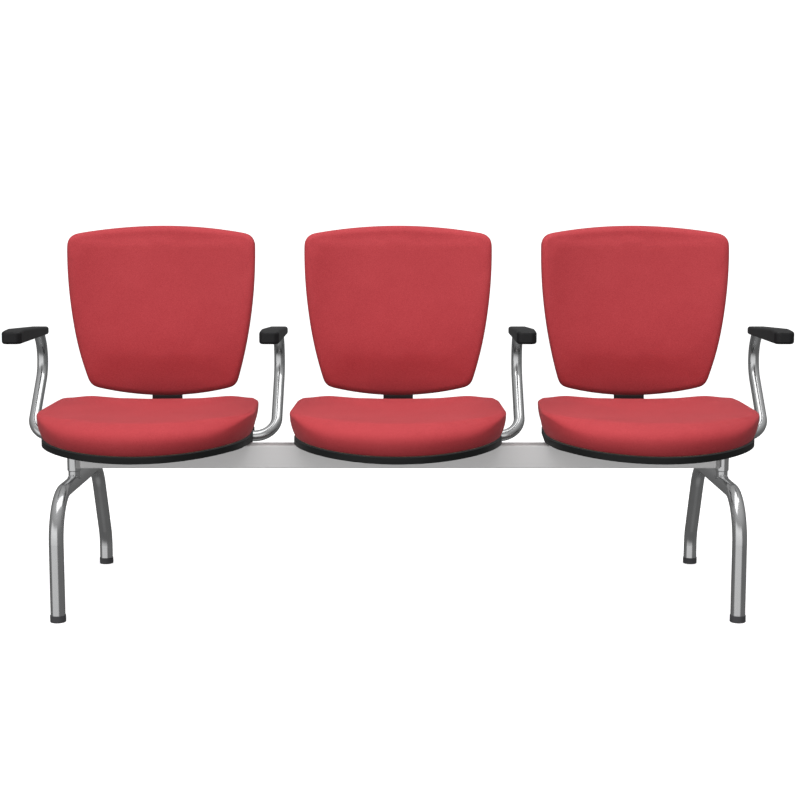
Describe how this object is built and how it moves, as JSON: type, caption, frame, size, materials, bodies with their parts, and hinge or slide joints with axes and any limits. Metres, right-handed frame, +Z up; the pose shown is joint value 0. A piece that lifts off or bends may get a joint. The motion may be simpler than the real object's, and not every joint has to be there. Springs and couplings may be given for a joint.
{
  "type": "beam seating",
  "caption": "Waiting-area seating: upholstered chairs side by side on a square steel beam, with arched tube legs and padded tube arms.",
  "frame": {"origin": "on the floor, under the middle of the bounding box", "axes": "+Z up, -Y the way the chairs face, +X along the beam to the left of someone sitting"},
  "size_m": [1.724, 0.6549, 0.841],
  "materials": {
    "beam_paint": "satin light grey powder coat",
    "leg_chrome": "polished",
    "arm_chrome": "polished",
    "foot_plastic": "matte",
    "trim_plastic": "fine grain",
    "edge_trim": "satin",
    "shell_plastic": "fine grain",
    "seat_fabric": "red, woven",
    "back_fabric": "red, woven",
    "plywood": "raw plywood",
    "bracket_paint": "satin black",
    "pad_foam": "moulded integral-skin foam, satin black",
    "zinc": "zinc plated"
  },
  "bodies": {
    "root": {"arm_bracket_inner_left": "bracket_paint", "arm_bracket_inner_right": "bracket_paint", "arm_bracket_outer_left": "bracket_paint", "arm_bracket_outer_right": "bracket_paint", "arm_pad_inner_left": "pad_foam", "arm_pad_inner_right": "pad_foam", "arm_pad_outer_left": "pad_foam", "arm_pad_outer_right": "pad_foam", "arm_screws": "zinc", "arm_tube_inner_left": "arm_chrome", "arm_tube_inner_right": "arm_chrome", "arm_tube_outer_left": "arm_chrome", "arm_tube_outer_right": "arm_chrome", "back_bar_centre": "bracket_paint", "back_bar_left": "bracket_paint", "back_bar_right": "bracket_paint", "back_board_centre": "plywood", "back_board_left": "plywood", "back_board_right": "plywood", "back_cushion_centre": "back_fabric", "back_cushion_left": "back_fabric", "back_cushion_right": "back_fabric", "back_screws": "zinc", "back_shell_centre": "shell_plastic", "back_shell_left": "shell_plastic", "back_shell_right": "shell_plastic", "bar_cover_centre": "trim_plastic", "bar_cover_left": "trim_plastic", "bar_cover_right": "trim_plastic", "beam": "beam_paint", "beam_bolts": "zinc", "beam_flange_left": "beam_paint", "beam_flange_right": "beam_paint", "foot_front_left": "foot_plastic", "foot_front_right": "foot_plastic", "foot_rear_left": "foot_plastic", "foot_rear_right": "foot_plastic", "leg_arch_left": "leg_chrome", "leg_arch_right": "leg_chrome", "leg_post_left": "leg_chrome", "leg_post_right": "leg_chrome", "pad_screws": "zinc", "pad_strips": "bracket_paint", "post_caps": "trim_plastic", "seat_band_centre": "edge_trim", "seat_band_left": "edge_trim", "seat_band_right": "edge_trim", "seat_board_centre": "plywood", "seat_board_left": "plywood", "seat_board_right": "plywood", "seat_bracket_centre": "bracket_paint", "seat_bracket_left": "bracket_paint", "seat_bracket_right": "bracket_paint", "seat_cushion_centre": "seat_fabric", "seat_cushion_left": "seat_fabric", "seat_cushion_right": "seat_fabric", "seat_screws": "zinc", "seat_shell_centre": "shell_plastic", "seat_shell_left": "shell_plastic", "seat_shell_right": "shell_plastic"}
  },
  "joints": []
}
